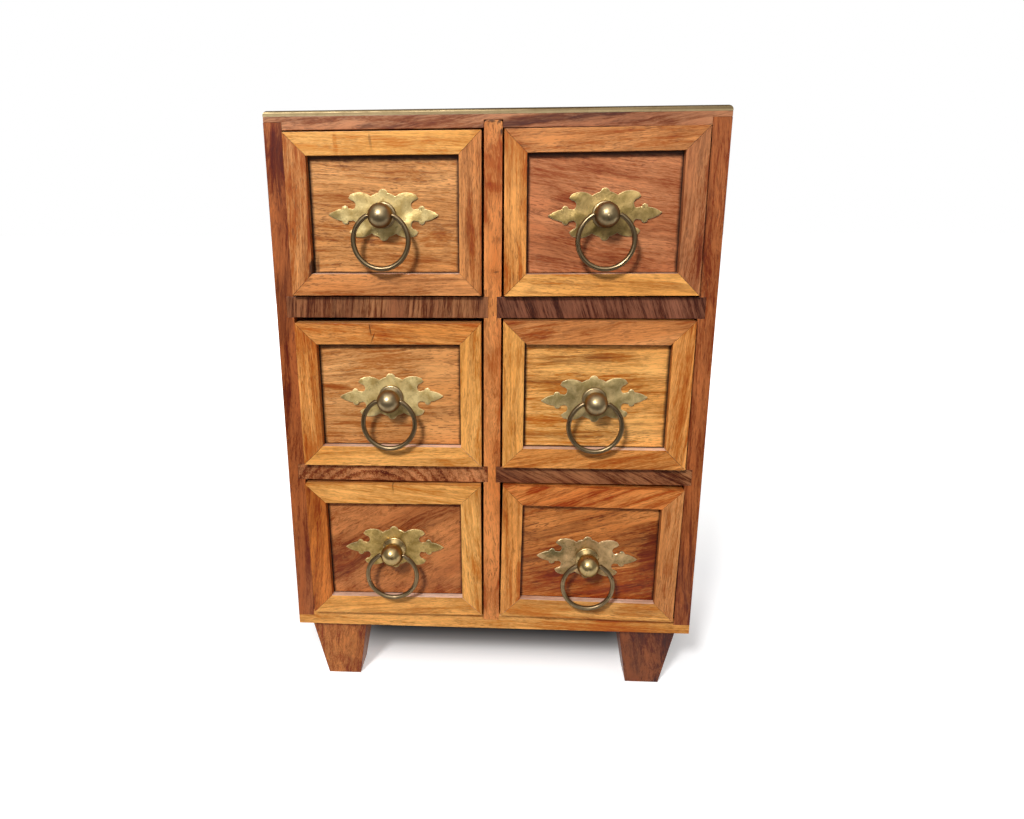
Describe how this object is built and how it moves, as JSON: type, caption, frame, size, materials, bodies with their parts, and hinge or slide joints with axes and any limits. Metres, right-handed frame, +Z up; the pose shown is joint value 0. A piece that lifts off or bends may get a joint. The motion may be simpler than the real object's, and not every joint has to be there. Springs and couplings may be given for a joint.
{
  "type": "desktop mini drawers",
  "caption": "Table-top chest of small sliding drawers in two columns, with mitred drawer fronts, fretted brass plates, ball knobs with swinging rings and tapered feet.",
  "frame": {"origin": "on the table, under the middle of the whole chest with its pulls", "axes": "+Z up, the drawers open towards -Y, +X to the right as seen from the front"},
  "size_m": [0.25, 0.1936, 0.356],
  "materials": {
    "side_wood": "satin varnish",
    "rail_wood": "satin varnish",
    "moulding_wood": "satin varnish",
    "panel_wood": "satin varnish",
    "plain_wood": "bare, sanded",
    "strip_brass": "worn polish",
    "plate_brass": "tarnished",
    "knob_brass": "aged polish",
    "ring_brass": "dark aged",
    "steel": "zinc plated"
  },
  "bodies": {
    "carcass": {"left_side": "side_wood", "right_side": "side_wood", "top_board": "rail_wood", "bottom_board": "moulding_wood", "back_panel": "plain_wood", "centre_divider": "side_wood", "upper_shelves": "rail_wood", "lower_shelves": "rail_wood", "brass_strip": "strip_brass", "feet": "side_wood", "foot_screws": "steel", "back_screws": "steel"},
    "top_left_drawer": {"top_left_front": "panel_wood", "top_left_moulding": "moulding_wood", "top_left_tray": "plain_wood", "top_left_base": "plain_wood", "top_left_plate": "plate_brass", "top_left_knob": "knob_brass", "top_left_fixings": "plate_brass"},
    "top_left_ring_pull": {"top_left_ring": "ring_brass"},
    "top_right_drawer": {"top_right_front": "panel_wood", "top_right_moulding": "moulding_wood", "top_right_tray": "plain_wood", "top_right_base": "plain_wood", "top_right_plate": "plate_brass", "top_right_knob": "knob_brass", "top_right_fixings": "plate_brass"},
    "top_right_ring_pull": {"top_right_ring": "ring_brass"},
    "middle_left_drawer": {"middle_left_front": "panel_wood", "middle_left_moulding": "moulding_wood", "middle_left_tray": "plain_wood", "middle_left_base": "plain_wood", "middle_left_plate": "plate_brass", "middle_left_knob": "knob_brass", "middle_left_fixings": "plate_brass"},
    "middle_left_ring_pull": {"middle_left_ring": "ring_brass"},
    "middle_right_drawer": {"middle_right_front": "panel_wood", "middle_right_moulding": "moulding_wood", "middle_right_tray": "plain_wood", "middle_right_base": "plain_wood", "middle_right_plate": "plate_brass", "middle_right_knob": "knob_brass", "middle_right_fixings": "plate_brass"},
    "middle_right_ring_pull": {"middle_right_ring": "ring_brass"},
    "bottom_left_drawer": {"bottom_left_front": "panel_wood", "bottom_left_moulding": "moulding_wood", "bottom_left_tray": "plain_wood", "bottom_left_base": "plain_wood", "bottom_left_plate": "plate_brass", "bottom_left_knob": "knob_brass", "bottom_left_fixings": "plate_brass"},
    "bottom_left_ring_pull": {"bottom_left_ring": "ring_brass"},
    "bottom_right_drawer": {"bottom_right_front": "panel_wood", "bottom_right_moulding": "moulding_wood", "bottom_right_tray": "plain_wood", "bottom_right_base": "plain_wood", "bottom_right_plate": "plate_brass", "bottom_right_knob": "knob_brass", "bottom_right_fixings": "plate_brass"},
    "bottom_right_ring_pull": {"bottom_right_ring": "ring_brass"}
  },
  "joints": [
    {"name": "top_left_drawer_slide", "type": "slide", "parent": "carcass", "child": "top_left_drawer", "axis": [0, -1, 0], "range_m": [0, 0.115]},
    {"name": "top_left_ring_swing", "type": "hinge", "parent": "top_left_drawer", "child": "top_left_ring_pull", "pos_m": [-0.0607, -0.09043, 0.3012], "axis": [-1, 0, 0], "range_deg": [-21, 200]},
    {"name": "top_right_drawer_slide", "type": "slide", "parent": "carcass", "child": "top_right_drawer", "axis": [0, -1, 0], "range_m": [0, 0.115]},
    {"name": "top_right_ring_swing", "type": "hinge", "parent": "top_right_drawer", "child": "top_right_ring_pull", "pos_m": [0.0609, -0.09043, 0.30105], "axis": [-1, 0, 0], "range_deg": [-21, 200]},
    {"name": "middle_left_drawer_slide", "type": "slide", "parent": "carcass", "child": "middle_left_drawer", "axis": [0, -1, 0], "range_m": [0, 0.115]},
    {"name": "middle_left_ring_swing", "type": "hinge", "parent": "middle_left_drawer", "child": "middle_left_ring_pull", "pos_m": [-0.0596, -0.09043, 0.1973], "axis": [-1, 0, 0], "range_deg": [-11, 200]},
    {"name": "middle_right_drawer_slide", "type": "slide", "parent": "carcass", "child": "middle_right_drawer", "axis": [0, -1, 0], "range_m": [0, 0.115]},
    {"name": "middle_right_ring_swing", "type": "hinge", "parent": "middle_right_drawer", "child": "middle_right_ring_pull", "pos_m": [0.0593, -0.09043, 0.197], "axis": [-1, 0, 0], "range_deg": [-11, 200]},
    {"name": "bottom_left_drawer_slide", "type": "slide", "parent": "carcass", "child": "bottom_left_drawer", "axis": [0, -1, 0], "range_m": [0, 0.115]},
    {"name": "bottom_left_ring_swing", "type": "hinge", "parent": "bottom_left_drawer", "child": "bottom_left_ring_pull", "pos_m": [-0.0607, -0.09043, 0.0998], "axis": [-1, 0, 0], "range_deg": [-21, 200]},
    {"name": "bottom_right_drawer_slide", "type": "slide", "parent": "carcass", "child": "bottom_right_drawer", "axis": [0, -1, 0], "range_m": [0, 0.115]},
    {"name": "bottom_right_ring_swing", "type": "hinge", "parent": "bottom_right_drawer", "child": "bottom_right_ring_pull", "pos_m": [0.0588, -0.09043, 0.0956], "axis": [-1, 0, 0], "range_deg": [-11, 200]}
  ]
}
